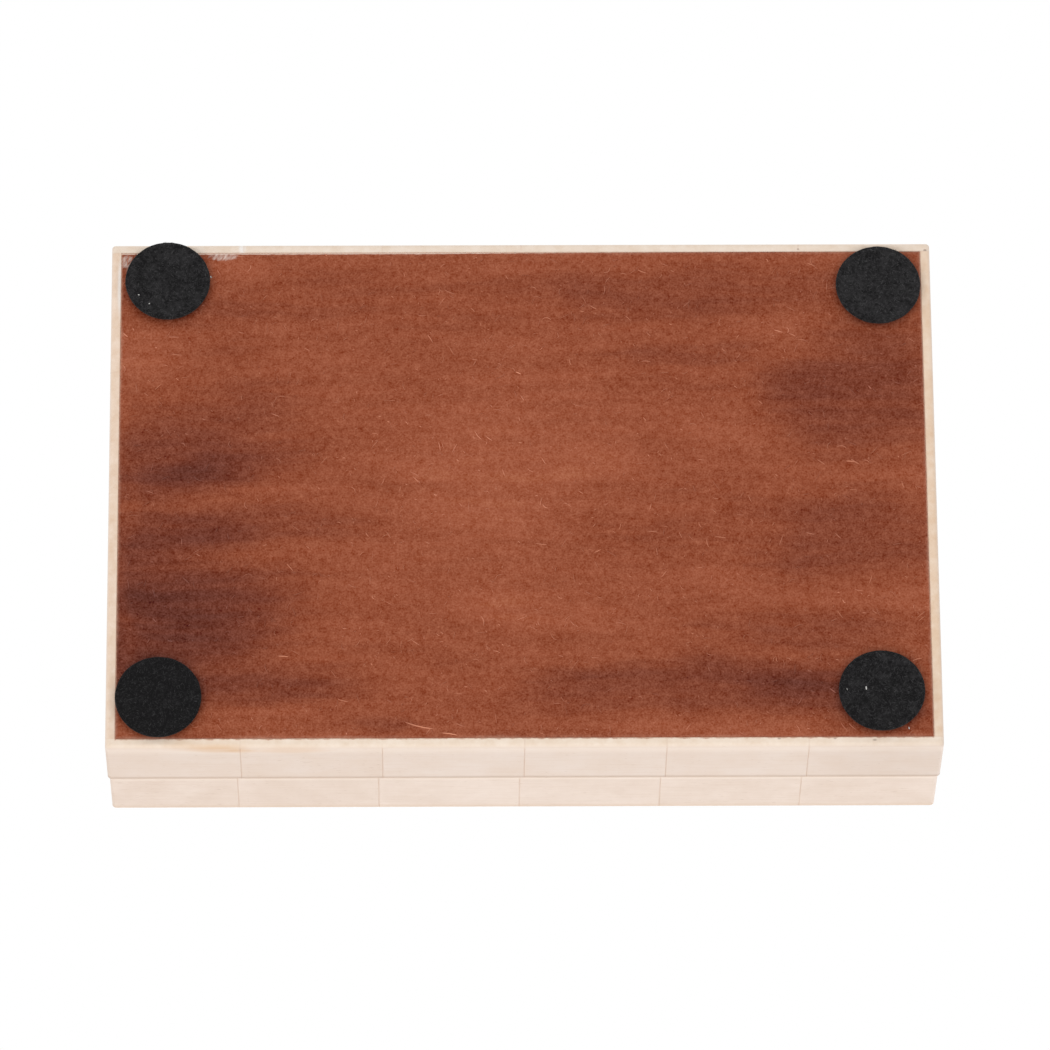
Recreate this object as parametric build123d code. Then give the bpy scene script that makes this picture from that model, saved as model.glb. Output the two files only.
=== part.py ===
from build123d import *
import os

# Outside of the closed box, in millimetres. It stands on its feet, with +Z up and its front towards -Y.
box_length = 190.5
box_width = 127.0
base_height = 19.0
lid_height = 18.6
lid_step = 0.4

# Bone tiles. The four middle tiles of a long row are whole, and its two end tiles are cut to fit.
tile_thickness = 2.2
middle_tile_width = 32.3
tiles_in_long_row = 6
tiles_in_short_row = 4
lid_joint_shift = 1.0
joint_bevel = 0.12

# Rounded arrises that the cladding was sanded to
corner_round = 0.8
foot_round = 1.0
rim_round = 0.9
lid_top_round = 1.0

# Boards of the base
bottom_thickness = 3.0
bottom_arris = 0.25
base_wall_thickness = 6.0
rabbet_depth = 3.0

# Lining strips, which stand proud of the rim as the lip that the lid fits over
lining_thickness = 3.0
lip_rise = 4.0
lip_lead_in = 0.8
lip_clearance = 0.3

# Dividers, housed in the front and back lining strips, and the felt on the floor
dice_bay_length = 20.0
divider_thickness = 4.0
divider_drop = 2.0
divider_round = 1.0
housing_depth = 1.5
felt_thickness = 1.0
felt_margin = 0.4

# Board of the lid's top
lid_board_thickness = 4.0

# Felt feet. They were stuck on by hand, so each corner has its own margins from the foot to the box's side and end.
foot_diameter = 19.8
foot_thickness = 2.0
foot_edge_bevel = 0.3
front_left_end_margin = 4.0
front_left_side_margin = 3.1
front_right_end_margin = 2.1
front_right_side_margin = 2.0
back_left_end_margin = 2.4
back_left_side_margin = 1.7
back_right_end_margin = 3.2
back_right_side_margin = 0.2

# Heights
base_low = foot_thickness
floor_top = base_low + bottom_thickness
rim_height = base_low + base_height
lip_top = rim_height + lip_rise
box_top = rim_height + lid_height
lid_board_top = box_top - tile_thickness
lid_wall_top = lid_board_top - lid_board_thickness

# Outlines, as length and width, from the outside in
core_length = box_length - 2 * tile_thickness
core_width = box_width - 2 * tile_thickness
lining_length = core_length - 2 * base_wall_thickness
lining_width = core_width - 2 * base_wall_thickness
inside_length = lining_length - 2 * lining_thickness
inside_width = lining_width - 2 * lining_thickness
lid_length = box_length - 2 * lid_step
lid_width = box_width - 2 * lid_step
lid_core_length = lid_length - 2 * tile_thickness
lid_core_width = lid_width - 2 * tile_thickness
lid_wall_thickness = (lid_core_length - lining_length) / 2 - lip_clearance


def block(x_low, x_high, y_low, y_high, z_low, z_high):
    """Rectangular block between the given planes."""
    middle = ((x_low + x_high) / 2, (y_low + y_high) / 2, (z_low + z_high) / 2)
    return Pos(*middle) * Box(x_high - x_low, y_high - y_low, z_high - z_low)


def centred_block(length, width, z_low, z_high):
    """Rectangular block centred on the box's upright axis."""
    return block(-length / 2, length / 2, -width / 2, width / 2, z_low, z_high)


def rabbeted_walls(length, width, thickness, z_low, z_high):
    """Four walls inside a length by width outline. The side walls' ends sit in rabbets of the long ones."""
    x_out = length / 2
    y_out = width / 2
    y_tongue = y_out - thickness + rabbet_depth
    left = block(-x_out, thickness - x_out, -y_tongue, y_tongue, z_low, z_high)
    right = block(x_out - thickness, x_out, -y_tongue, y_tongue, z_low, z_high)
    front = block(-x_out, x_out, -y_out, thickness - y_out, z_low, z_high) - left - right
    back = block(-x_out, x_out, y_out - thickness, y_out, z_low, z_high) - left - right
    return {"front": front, "back": back, "left": left, "right": right}


def mitred_strip(run, reach, angle):
    """Lining strip of the given outer run, its outer face at reach from the middle, turned to its side."""
    short_run = run - 2 * lining_thickness
    plan = make_face(
        Polyline(
            (-run / 2, -reach),
            (run / 2, -reach),
            (short_run / 2, lining_thickness - reach),
            (-short_run / 2, lining_thickness - reach),
            close=True,
        )
    )
    strip = extrude(Pos(0, 0, floor_top) * plan, amount=lip_top - floor_top, dir=(0, 0, 1))
    outer_top_edge = strip.edges().filter_by(Axis.X).group_by(Axis.Z)[-1].sort_by(Axis.Y)[0]
    return Rot(0, 0, angle) * chamfer(outer_top_edge, lip_lead_in)


def divider(side):
    """Divider on the left (-1) or right (+1) of the dice bay, its ends reaching into their housings."""
    x_middle = side * (dice_bay_length + divider_thickness) / 2
    x_low = x_middle - divider_thickness / 2
    y_end = inside_width / 2 + housing_depth
    board = block(x_low, x_low + divider_thickness, -y_end, y_end, floor_top, lip_top - divider_drop)
    top_edges = board.edges().filter_by(Axis.Y).group_by(Axis.Z)[-1]
    return fillet(top_edges, divider_round)


def floor_felt(x_low, x_high):
    """Felt on the floor between two upright faces of a bay."""
    y_edge = inside_width / 2 - felt_margin
    felt_top = floor_top + felt_thickness
    return block(x_low + felt_margin, x_high - felt_margin, -y_edge, y_edge, floor_top, felt_top)


def foot(x_side, y_side, end_margin, side_margin):
    """Round felt foot near one corner of the bottom."""
    x_middle = x_side * (box_length / 2 - end_margin - foot_diameter / 2)
    y_middle = y_side * (box_width / 2 - side_margin - foot_diameter / 2)
    disc = Pos(x_middle, y_middle, foot_thickness / 2) * Cylinder(foot_diameter / 2, foot_thickness)
    return chamfer(disc.edges().sort_by(Axis.Z)[0], foot_edge_bevel)


def long_row_joints(length, shift):
    """X of each end and joint of a long row: whole tiles in the middle and cut ones at the ends."""
    whole_tiles = tiles_in_long_row - 2
    start = shift - whole_tiles * middle_tile_width / 2
    middle = [start + i * middle_tile_width for i in range(whole_tiles + 1)]
    return [-length / 2] + middle + [length / 2]


def short_row_joints(width):
    """Y of each end and joint of a short row, which fits between the long rows."""
    run = width - 2 * tile_thickness
    return [run * (i / tiles_in_short_row - 0.5) for i in range(tiles_in_short_row + 1)]


def groove(run, x, y, z, turn):
    """Square bar on its corner that bevels the two tiles of a joint, lying along Z before its turn."""
    side = joint_bevel * 2**0.5
    return Pos(x, y, z) * Rot(*turn) * Rot(0, 0, 45) * Box(side, side, run)


def cladding_band(length, width, z_low, z_high, low_round, high_round):
    """Band of cladding round the box with its arrises rounded, before it is parted into tiles."""
    band = centred_block(length, width, z_low, z_high)
    band = fillet(band.edges().filter_by(Axis.Z), corner_round)
    band = fillet(band.faces().sort_by(Axis.Z)[0].edges(), low_round)
    band = fillet(band.faces().sort_by(Axis.Z)[-1].edges(), high_round)
    hollow = centred_block(length - 2 * tile_thickness, width - 2 * tile_thickness, z_low, z_high)
    return band - hollow


def part_rows(band, length, width, z_low, z_high, long_joints, short_joints):
    """The band's four rows, each as a list of tiles. The long rows cover the ends of the short ones."""
    x_out = length / 2
    y_out = width / 2
    run = z_high - z_low
    z_middle = (z_low + z_high) / 2
    bars = [groove(run, x, y, z_middle, (0, 0, 0)) for x in long_joints[1:-1] for y in (-y_out, y_out)]
    bars += [groove(run, x, y, z_middle, (0, 0, 0)) for x in (-x_out, x_out) for y in short_joints]
    band = band - bars
    rows = {"front": [], "back": [], "left": [], "right": []}
    for x_low, x_high in zip(long_joints, long_joints[1:]):
        rows["front"].append(band & block(x_low, x_high, -y_out, tile_thickness - y_out, z_low, z_high))
        rows["back"].append(band & block(x_low, x_high, y_out - tile_thickness, y_out, z_low, z_high))
    for y_low, y_high in zip(short_joints, short_joints[1:]):
        rows["left"].append(band & block(-x_out, tile_thickness - x_out, y_low, y_high, z_low, z_high))
        rows["right"].append(band & block(x_out - tile_thickness, x_out, y_low, y_high, z_low, z_high))
    return rows


def top_grooves(x_joints, y_joints):
    """Bars along every joint of the tiled top, its border included."""
    x_run = lid_core_length + 2 * joint_bevel
    y_run = lid_core_width + 2 * joint_bevel
    bars = [groove(y_run, x, 0, box_top, (90, 0, 0)) for x in x_joints]
    bars += [groove(x_run, 0, y, box_top, (0, 90, 0)) for y in y_joints]
    return bars


def export(name, solids):
    """Write one node, which may be a group of separate solids."""
    shape = solids[0] if len(solids) == 1 else Compound(children=solids)
    export_step(shape, os.path.join("parts", name + ".step"))


def build_base():
    """Every node of the base, by name."""
    nodes = {}
    bottom = centred_block(core_length, core_width, base_low, floor_top)
    nodes["bottom_panel"] = chamfer(bottom.faces().sort_by(Axis.Z)[0].edges(), bottom_arris)
    walls = rabbeted_walls(core_length, core_width, base_wall_thickness, floor_top, rim_height)
    for side, wall in walls.items():
        nodes["base_" + side + "_wall"] = wall
    nodes["left_divider"] = divider(-1)
    nodes["right_divider"] = divider(1)
    housings = [nodes["left_divider"], nodes["right_divider"]]
    nodes["front_lining"] = mitred_strip(lining_length, lining_width / 2, 0) - housings
    nodes["back_lining"] = mitred_strip(lining_length, lining_width / 2, 180) - housings
    nodes["left_lining"] = mitred_strip(lining_width, lining_length / 2, -90)
    nodes["right_lining"] = mitred_strip(lining_width, lining_length / 2, 90)
    x_dice = dice_bay_length / 2
    x_card = x_dice + divider_thickness
    nodes["left_card_felt"] = floor_felt(-inside_length / 2, -x_card)
    nodes["dice_felt"] = floor_felt(-x_dice, x_dice)
    nodes["right_card_felt"] = floor_felt(x_card, inside_length / 2)
    nodes["front_left_foot"] = foot(-1, -1, front_left_end_margin, front_left_side_margin)
    nodes["front_right_foot"] = foot(1, -1, front_right_end_margin, front_right_side_margin)
    nodes["back_left_foot"] = foot(-1, 1, back_left_end_margin, back_left_side_margin)
    nodes["back_right_foot"] = foot(1, 1, back_right_end_margin, back_right_side_margin)
    return nodes


def build_lid():
    """Every node of the lid's core, by name."""
    nodes = {"lid_board": centred_block(lid_core_length, lid_core_width, lid_wall_top, lid_board_top)}
    walls = rabbeted_walls(lid_core_length, lid_core_width, lid_wall_thickness, rim_height, lid_wall_top)
    for side, wall in walls.items():
        nodes["lid_" + side + "_wall"] = wall
    return nodes


def build_base_tiles():
    """The base's cladding: four rows of tiles that cover the walls and the bottom panel's edges."""
    band = cladding_band(box_length, box_width, base_low, rim_height, foot_round, rim_round)
    long_joints = long_row_joints(box_length, 0)
    short_joints = short_row_joints(box_width)
    rows = part_rows(band, box_length, box_width, base_low, rim_height, long_joints, short_joints)
    return {"base_" + side + "_tiles": tiles for side, tiles in rows.items()}


def build_lid_tiles():
    """The lid's cladding: four rows of tiles round a tiled top whose joints carry theirs across."""
    band = cladding_band(lid_length, lid_width, rim_height, box_top, rim_round, lid_top_round)
    long_joints = long_row_joints(lid_length, lid_joint_shift)
    short_joints = short_row_joints(lid_width)
    x_joints = [-lid_core_length / 2] + long_joints[1:-1] + [lid_core_length / 2]
    bars = top_grooves(x_joints, short_joints)
    rows = part_rows(band - bars, lid_length, lid_width, rim_height, box_top, long_joints, short_joints)
    nodes = {"lid_" + side + "_tiles": tiles for side, tiles in rows.items()}
    field = centred_block(lid_core_length, lid_core_width, lid_board_top, box_top) - bars
    nodes["lid_top_tiles"] = [
        field & block(x_low, x_high, y_low, y_high, lid_board_top, box_top)
        for y_low, y_high in zip(short_joints, short_joints[1:])
        for x_low, x_high in zip(x_joints, x_joints[1:])
    ]
    return nodes


os.makedirs("parts", exist_ok=True)
for name, solid in {**build_base(), **build_lid()}.items():
    export(name, [solid])
for name, tiles in {**build_base_tiles(), **build_lid_tiles()}.items():
    export(name, tiles)
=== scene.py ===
"""Looks of a card and dice box: bone tiles, a stained hardboard bottom and black felt feet.

The box stands upright in its own frame. The camera looks up at its bottom, which is how the box is seen
when it lies turned over on its lid. Sizes are in millimetres and go to metres where a mesh is made.
"""

import logging
import math
from collections.abc import Sequence
from dataclasses import dataclass, replace
from enum import Enum
from typing import Any

import bmesh
import bpy
import numpy as np
from bpy.types import Material, NodeSocket, NodeTree, Object
from mathutils import Matrix, Vector, noise


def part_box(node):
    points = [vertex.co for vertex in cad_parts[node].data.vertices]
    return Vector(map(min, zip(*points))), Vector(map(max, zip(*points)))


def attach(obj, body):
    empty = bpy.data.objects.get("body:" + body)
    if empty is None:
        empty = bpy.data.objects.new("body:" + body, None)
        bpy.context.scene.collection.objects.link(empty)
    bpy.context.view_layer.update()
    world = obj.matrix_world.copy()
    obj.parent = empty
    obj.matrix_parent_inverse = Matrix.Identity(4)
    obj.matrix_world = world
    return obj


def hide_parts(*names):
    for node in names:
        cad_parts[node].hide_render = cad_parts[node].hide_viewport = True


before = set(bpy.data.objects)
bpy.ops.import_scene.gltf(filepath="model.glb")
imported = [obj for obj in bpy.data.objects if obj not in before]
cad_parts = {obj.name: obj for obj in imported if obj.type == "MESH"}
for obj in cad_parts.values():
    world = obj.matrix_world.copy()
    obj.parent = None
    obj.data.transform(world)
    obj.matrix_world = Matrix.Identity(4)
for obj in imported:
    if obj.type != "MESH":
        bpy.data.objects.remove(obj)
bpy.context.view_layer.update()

log = logging.getLogger("box")

MM = 0.001
# A colour mix: its node, its setting, its sockets for the share and both colours, and its output.
MIX, RGBA = "ShaderNodeMix", {"data_type": "RGBA"}
FACTOR, UNDER, OVER, MIXED = 0, 6, 7, 2
# The nodes and settings that come back in many finishes.
MATH, VECTOR_MATH = "ShaderNodeMath", "ShaderNodeVectorMath"
MULTIPLY, MULTIPLY_ADD = {"operation": "MULTIPLY"}, {"operation": "MULTIPLY_ADD"}
SUBTRACT, MAXIMUM, MINIMUM = {"operation": "SUBTRACT"}, {"operation": "MAXIMUM"}, {"operation": "MINIMUM"}
RANGE, SMOOTH = "ShaderNodeMapRange", {"interpolation_type": "SMOOTHSTEP"}
SPLIT = "ShaderNodeSeparateXYZ"
RAMP = "ShaderNodeValToRGB"
WHITE = (1.0, 1.0, 1.0, 1.0)
# Farther than any joint is from any point.
FAR_MM = 1000.0
# What keeps a fibre's directions from having no length.
TINY, SMALL = 1e-9, 1e-6
STRAND_SIDES = 3

Faces = list[tuple[int, ...]]
Stops = tuple[tuple[float, str], ...]


class Grain(Enum):
    """Which way a piece's grain runs."""

    ALONG_X = "X"
    ALONG_Y = "Y"


class Square(Enum):
    """The axis that a family of joint planes is square to."""

    TO_X = "X"
    TO_Y = "Y"


class Mark(Enum):
    """A kind of mark on the bone, and its colour."""

    WHITE_FILLER = "#F4EFEA"
    SEEP = "#DDAF7C"
    PIT = "#8F786B"


def linear(colour: str) -> tuple[float, float, float, float]:
    """Turn an sRGB hex colour to linear.

    Args:
        colour: six hex digits after a hash.

    Returns:
        Linear red, green and blue, and an alpha of 1.
    """
    parts = [int(colour[i : i + 2], 16) / 255 for i in (1, 3, 5)]
    red, green, blue = (c / 12.92 if c <= 0.04045 else ((c + 0.055) / 1.055) ** 2.4 for c in parts)
    return red, green, blue, 1.0


def add_node(
    tree: NodeTree,
    kind: str,
    settings: dict[str, Any] | None = None,
    inputs: dict[Any, Any] | None = None,
    output: int | str = 0,
) -> NodeSocket | None:
    """Add a node with its settings and links.

    Args:
        tree: the node tree that gets it.
        kind: the node's type.
        settings: its properties by name.
        inputs: what goes into its sockets, each a value or a socket to link.
        output: the output that is wanted.

    Returns:
        That output of the new node, or None where it has no outputs.
    """
    node = tree.nodes.new(kind)
    for name, value in (settings or {}).items():
        setattr(node, name, value)
    for name, value in (inputs or {}).items():
        if isinstance(value, NodeSocket):
            tree.links.new(value, node.inputs[name])
        else:
            node.inputs[name].default_value = value
    return node.outputs[output] if node.outputs else None


def paint_ramp(ramp: NodeSocket, stops: Stops) -> NodeSocket:
    """Give a colour ramp its stops.

    Args:
        ramp: the colour output of a ramp node.
        stops: each stop's position and its hex colour.

    Returns:
        The same output.
    """
    elements = ramp.node.color_ramp.elements
    while len(elements) < len(stops):
        elements.new(1.0)
    for element, (position, colour) in zip(elements, stops):
        element.position = position
        element.color = linear(colour)
    return ramp


def add_layers(
    tree: NodeTree, base: NodeSocket | float, layers: Sequence[tuple[NodeSocket, float]]
) -> NodeSocket | float:
    """Add several layers to a base, each times its weight.

    Args:
        tree: the material's tree.
        base: what they are added to.
        layers: each layer and its weight.

    Returns:
        The sum.
    """
    total = base
    for layer, weight in layers:
        total = add_node(tree, MATH, MULTIPLY_ADD, {0: layer, 1: weight, 2: total})
    return total


@dataclass(frozen=True)
class Levels:
    """How a level turns to a strength: where it starts, where it is full, and the strength at each."""

    start: float
    full: float
    at_start: float = 0.0
    at_full: float = 1.0

    def sockets(self, value: NodeSocket) -> dict[str, Any]:
        """Return what a map range node takes to turn the value."""
        levels = {"From Min": self.start, "From Max": self.full}
        return {"Value": value, "To Min": self.at_start, "To Max": self.at_full} | levels


@dataclass(frozen=True)
class Pattern:
    """Noise whose features have a real size: that size, the finer octaves, and how strong they are."""

    size_mm: tuple[float, float, float] | float
    detail: float = 2.0
    roughness: float = 0.5

    def along(self, grain: Grain) -> "Pattern":
        """Return it with its length, which is along X, along the grain."""
        length, width, depth = self.size_mm
        return self if grain is Grain.ALONG_X else replace(self, size_mm=(width, length, depth))

    def add(self, tree: NodeTree, place: NodeSocket, heading: float = 0.0) -> NodeSocket:
        """Add the noise's nodes.

        Args:
            tree: the material's tree.
            place: where on the object, in millimetres.
            heading: how far the features are turned about Z, in radians.

        Returns:
            The noise, about 0.5 on average.
        """
        size = self.size_mm if isinstance(self.size_mm, tuple) else (self.size_mm,) * 3
        around = {"Vector": place, "Rotation": (0.0, 0.0, heading), "Scale": size}
        stretched = add_node(tree, "ShaderNodeMapping", {"vector_type": "TEXTURE"}, around)
        waves = {"Vector": stretched, "Scale": 1.0, "Detail": self.detail, "Roughness": self.roughness}
        return add_node(tree, "ShaderNodeTexNoise", {}, waves)


@dataclass(frozen=True)
class CrossedFibres:
    """Short fibres that lie across each other: their size, and the noise levels that show them."""

    length_mm: float
    width_mm: float
    shown: Levels
    headings: int = 5
    first_heading: float = 0.37
    detail: float = 1.0
    roughness: float = 0.4

    def add(self, tree: NodeTree, place: NodeSocket) -> NodeSocket | float:
        """Add the fibres' nodes.

        Args:
            tree: the material's tree.
            place: where on the object, in millimetres.

        Returns:
            1 on a fibre and 0 between them.
        """
        size = (self.length_mm, self.width_mm, self.length_mm)
        strands = Pattern(size, self.detail, self.roughness)
        strongest: NodeSocket | float = 0.0
        for i in range(self.headings):
            heading = math.pi * (i + self.first_heading) / self.headings
            one_way = add_node(tree, RANGE, {}, self.shown.sockets(strands.add(tree, place, heading)))
            strongest = add_node(tree, MATH, MAXIMUM, {0: strongest, 1: one_way})
        return strongest


@dataclass(frozen=True)
class JointFamily:
    """Parallel joints of the cladding: planes square to one axis, a pitch apart."""

    square: Square
    pitch_mm: float
    offset_mm: float


@dataclass(frozen=True)
class Patch:
    """A soft mark on a surface: where it is, its half sizes, its heading and how strong it is.

    One without a height of its own goes through the piece from top to bottom.
    """

    x_mm: float
    y_mm: float
    half_length_mm: float
    half_width_mm: float
    heading_deg: float = 0.0
    strength: float = 1.0
    z_mm: float = 0.0
    half_height_mm: float = 1e6
    full_within: float = 0.75

    def add(self, tree: NodeTree, place: NodeSocket) -> NodeSocket:
        """Add the patch's nodes.

        Args:
            tree: the material's tree.
            place: where on the object, in millimetres.

        Returns:
            The strength at its middle, fading evenly to 0 at its edge.
        """
        around = {
            "Vector": place,
            "Location": (self.x_mm, self.y_mm, self.z_mm),
            "Rotation": (0.0, 0.0, math.radians(self.heading_deg)),
            "Scale": (self.half_length_mm, self.half_width_mm, self.half_height_mm),
        }
        fitted = add_node(tree, "ShaderNodeMapping", {"vector_type": "TEXTURE"}, around)
        fading = {"gradient_type": "SPHERICAL"}
        fade = add_node(tree, "ShaderNodeTexGradient", fading, {"Vector": fitted}, "Fac")
        levels = Levels(0.0, self.full_within, 0.0, self.strength)
        return add_node(tree, RANGE, SMOOTH, levels.sockets(fade))


def add_patches(tree: NodeTree, place: NodeSocket, patches: Sequence[Patch]) -> NodeSocket | float:
    """Add several patches together.

    Args:
        tree: the material's tree.
        place: where on the object, in millimetres.
        patches: the marks.

    Returns:
        The sum of their strengths.
    """
    total: NodeSocket | float = 0.0
    for patch in patches:
        total = add_node(tree, MATH, {}, {0: total, 1: patch.add(tree, place)})
    return total


@dataclass(frozen=True)
class Rim:
    """A painted shade or painted highlight along a row's rim: the heights where it starts and where it is
    full.
    """

    start_mm: float
    full_mm: float
    tint: str
    strength: float

    def moved(self, height_mm: float) -> "Rim":
        """Return it moved up."""
        return replace(self, start_mm=height_mm + self.start_mm, full_mm=height_mm + self.full_mm)


class Finish:
    """What a piece is made of and how it was finished, as one principled shader.

    A finish states what is even all over it as fields. Its relief stands bump_mm high at full bump, and
    goes inwards where it is sunk.
    """

    name: str
    roughness: float = 0.5
    ior: float = 1.5
    specular: float = 0.5
    sheen: float = 0.0
    bump: float = 0.0
    bump_mm: float = 0.0
    sunk: bool = False

    def material(self) -> Material:
        """Build the finish's material.

        Returns:
            The material.
        """
        made = bpy.data.materials.new(self.name)
        made.use_nodes = True
        tree = made.node_tree
        tree.nodes.clear()
        spot = add_node(tree, "ShaderNodeTexCoord", output="Object")
        place = add_node(tree, VECTOR_MATH, {"operation": "SCALE"}, {0: spot, "Scale": 1 / MM})
        add_node(tree, "ShaderNodeOutputMaterial", {}, {"Surface": self.surface(tree, place)})
        return made

    def surface(self, tree: NodeTree, place: NodeSocket) -> NodeSocket:
        """Add the shader.

        Args:
            tree: the material's tree.
            place: where on the object, in millimetres.

        Returns:
            The shader, which takes what varies from look() and the rest from the finish.
        """
        even = {"Roughness": self.roughness, "IOR": self.ior, "Specular IOR Level": self.specular}
        sockets = even | {"Sheen Weight": self.sheen} | self.look(tree, place)
        height = sockets.pop("Height", None)
        if height is not None:
            raised = {"Height": height, "Strength": self.bump, "Distance": self.bump_mm * MM}
            sockets["Normal"] = add_node(tree, "ShaderNodeBump", {"invert": self.sunk}, raised)
        return add_node(tree, "ShaderNodeBsdfPrincipled", {}, sockets)

    def look(self, tree: NodeTree, place: NodeSocket) -> dict[str, NodeSocket]:
        """Work out what varies over the piece: its colour, and its height or roughness where they do.

        Args:
            tree: the material's tree.
            place: where on the object, in millimetres.

        Returns:
            What goes into the shader's sockets, and the relief's height.
        """
        raise NotImplementedError


@dataclass(frozen=True)
class PolishedBone(Finish):
    """Cattle bone, sawn to thin tiles, glued on, sanded flush and buffed.

    The eye sees a warm cream with faint long streaks, a few fine pores that run the same way, a slightly
    different cream on each tile, hairline joints of tan filler, and a satin gloss. The sawn lower edges
    are yellower and more matt, and the stain of the bottom has crept onto them here and there.
    """

    name: str
    grain: Grain
    joints: tuple[JointFamily, ...]
    border: JointFamily
    marks: tuple[tuple[Mark, Patch], ...] = ()
    # The painted shade and painted highlights along the rims.
    rims: tuple[Rim, ...] = ()
    cream: str = "#ECDACB"
    deep_cream: str = "#E3CDBC"
    streak: str = "#DDC4AF"
    pore: str = "#BFA188"
    filler: str = "#DDC3AF"
    sawn: str = "#F4E3D1"
    sawn_dark: str = "#E7CEB6"
    bleed: str = "#A25C3A"
    # The patterns, lengthwise along X until they are turned along the grain.
    clouds: Pattern = Pattern(9.0, 3.0, 0.65)
    streaks: Pattern = Pattern((14.0, 0.7, 0.7))
    pores: Pattern = Pattern((1.5, 0.22, 0.22), 0.0)
    waves: Pattern = Pattern(9.0, 1.0)
    sawn_clouds: Pattern = Pattern(3.0, 4.0, 0.65)
    ragged: Pattern = Pattern(2.2, 4.0, 0.6)
    joint_patches: Pattern = Pattern(4.0)
    # How each tile differs from the next, and how strongly each pattern shows.
    own_shift_mm: float = 90.0
    own_depth: float = 0.2
    deep_shown: Levels = Levels(0.36, 0.9)
    streak_shown: Levels = Levels(0.5, 0.8, 0.0, 0.36)
    pore_shown: Levels = Levels(0.74, 0.84, 0.0, 0.5)
    facing_down: Levels = Levels(-0.3, -0.9)
    sawn_shown: Levels = Levels(0.35, 0.75)
    filler_shown: Levels = Levels(0.35, 0.65, 0.0, 0.45)
    # The joints, and the stain that crept onto the sawn edge from the board beside it.
    joint_half_width_mm: float = 0.3
    joint_core: float = 0.25
    bleed_levels: tuple[float, float] = (0.3, 0.7)
    bleed_reach_mm: float = 0.32
    bleed_soft_mm: float = 0.13
    bleed_share: float = 0.7
    bleed_to_mm: float = 0.0
    # The surface.
    rough_between: tuple[float, float] = (0.46, 0.56)
    sawn_rougher: float = 0.2
    streak_relief: float = 0.06
    bump: float = 0.2
    bump_mm: float = 0.05
    ior: float = 1.54
    specular: float = 0.3

    def look(self, tree: NodeTree, place: NodeSocket) -> dict[str, NodeSocket]:
        """Work out the bone's colour, gloss and relief.

        Args:
            tree: the material's tree.
            place: where on the object, in millimetres.

        Returns:
            What varies over it.
        """
        gap, border_gap, tile = self._joints(tree, place)
        shift = {0: tile, 1: (self.own_shift_mm,) * 3, 2: place}
        own_place = add_node(tree, VECTOR_MATH, MULTIPLY_ADD, shift)
        colour, streaks = self._face(tree, own_place, tile)
        colour = self._rims(tree, place, colour)
        colour, sawn = self._sawn_edge(tree, place, colour, border_gap)
        colour = self._marks(tree, place, colour)
        colour = self._filled_joints(tree, place, colour, gap)
        rough = add_node(tree, RANGE, {}, Levels(0.0, 1.0, *self.rough_between).sockets(streaks))
        rough = add_node(tree, MATH, MULTIPLY_ADD, {0: sawn, 1: self.sawn_rougher, 2: rough})
        waves = self.waves.add(tree, own_place)
        relief = add_node(tree, MATH, MULTIPLY_ADD, {0: streaks, 1: self.streak_relief, 2: waves})
        return {"Base Color": colour, "Roughness": rough, "Height": relief}

    def _joints(
        self, tree: NodeTree, place: NodeSocket
    ) -> tuple[NodeSocket | float, NodeSocket | None, NodeSocket]:
        """Find the joints round a point.

        Args:
            tree: the material's tree.
            place: where on the object, in millimetres.

        Returns:
            The distance to the nearest joint, the distance to the border, and the tile's own random
            vector.
        """
        gap: NodeSocket | float = FAR_MM
        index: list[NodeSocket] = []
        distance = None
        for family in (*self.joints, self.border):
            coordinate = add_node(tree, SPLIT, {}, {"Vector": place}, family.square.value)
            along = add_node(tree, MATH, SUBTRACT, {0: coordinate, 1: family.offset_mm})
            half_pitch = {0: along, 1: family.pitch_mm / 2}
            distance = add_node(tree, MATH, {"operation": "PINGPONG"}, half_pitch)
            gap = add_node(tree, MATH, MINIMUM, {0: gap, 1: distance})
            steps = add_node(tree, MATH, {"operation": "DIVIDE"}, {0: along, 1: family.pitch_mm})
            index.append(add_node(tree, MATH, {"operation": "FLOOR"}, {0: steps}))
        cell = {"Vector": add_node(tree, "ShaderNodeCombineXYZ", {}, dict(enumerate(index)))}
        tile = add_node(tree, "ShaderNodeTexWhiteNoise", {"noise_dimensions": "3D"}, cell, "Color")
        return gap, distance, tile

    def _face(
        self, tree: NodeTree, own_place: NodeSocket, tile: NodeSocket
    ) -> tuple[NodeSocket, NodeSocket]:
        """Colour a tile's face.

        Args:
            tree: the material's tree.
            own_place: the place, moved at random for each tile.
            tile: the tile's own random vector.

        Returns:
            The colour, and how much streak there is.
        """
        clouds = self.clouds.add(tree, own_place)
        own = add_node(tree, SPLIT, {}, {"Vector": tile}, "X")
        depth = add_node(tree, MATH, MULTIPLY_ADD, {0: own, 1: self.own_depth, 2: clouds})
        share = add_node(tree, RANGE, {}, self.deep_shown.sockets(depth))
        creams = {FACTOR: share, UNDER: linear(self.cream), OVER: linear(self.deep_cream)}
        colour = add_node(tree, MIX, RGBA, creams, MIXED)
        streaks = self.streaks.along(self.grain).add(tree, own_place)
        pores = self.pores.along(self.grain).add(tree, own_place)
        for level, levels, tint in (
            (streaks, self.streak_shown, self.streak),
            (pores, self.pore_shown, self.pore),
        ):
            shown = add_node(tree, RANGE, {}, levels.sockets(level))
            colour = add_node(tree, MIX, RGBA, {FACTOR: shown, UNDER: colour, OVER: linear(tint)}, MIXED)
        return colour, streaks

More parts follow.
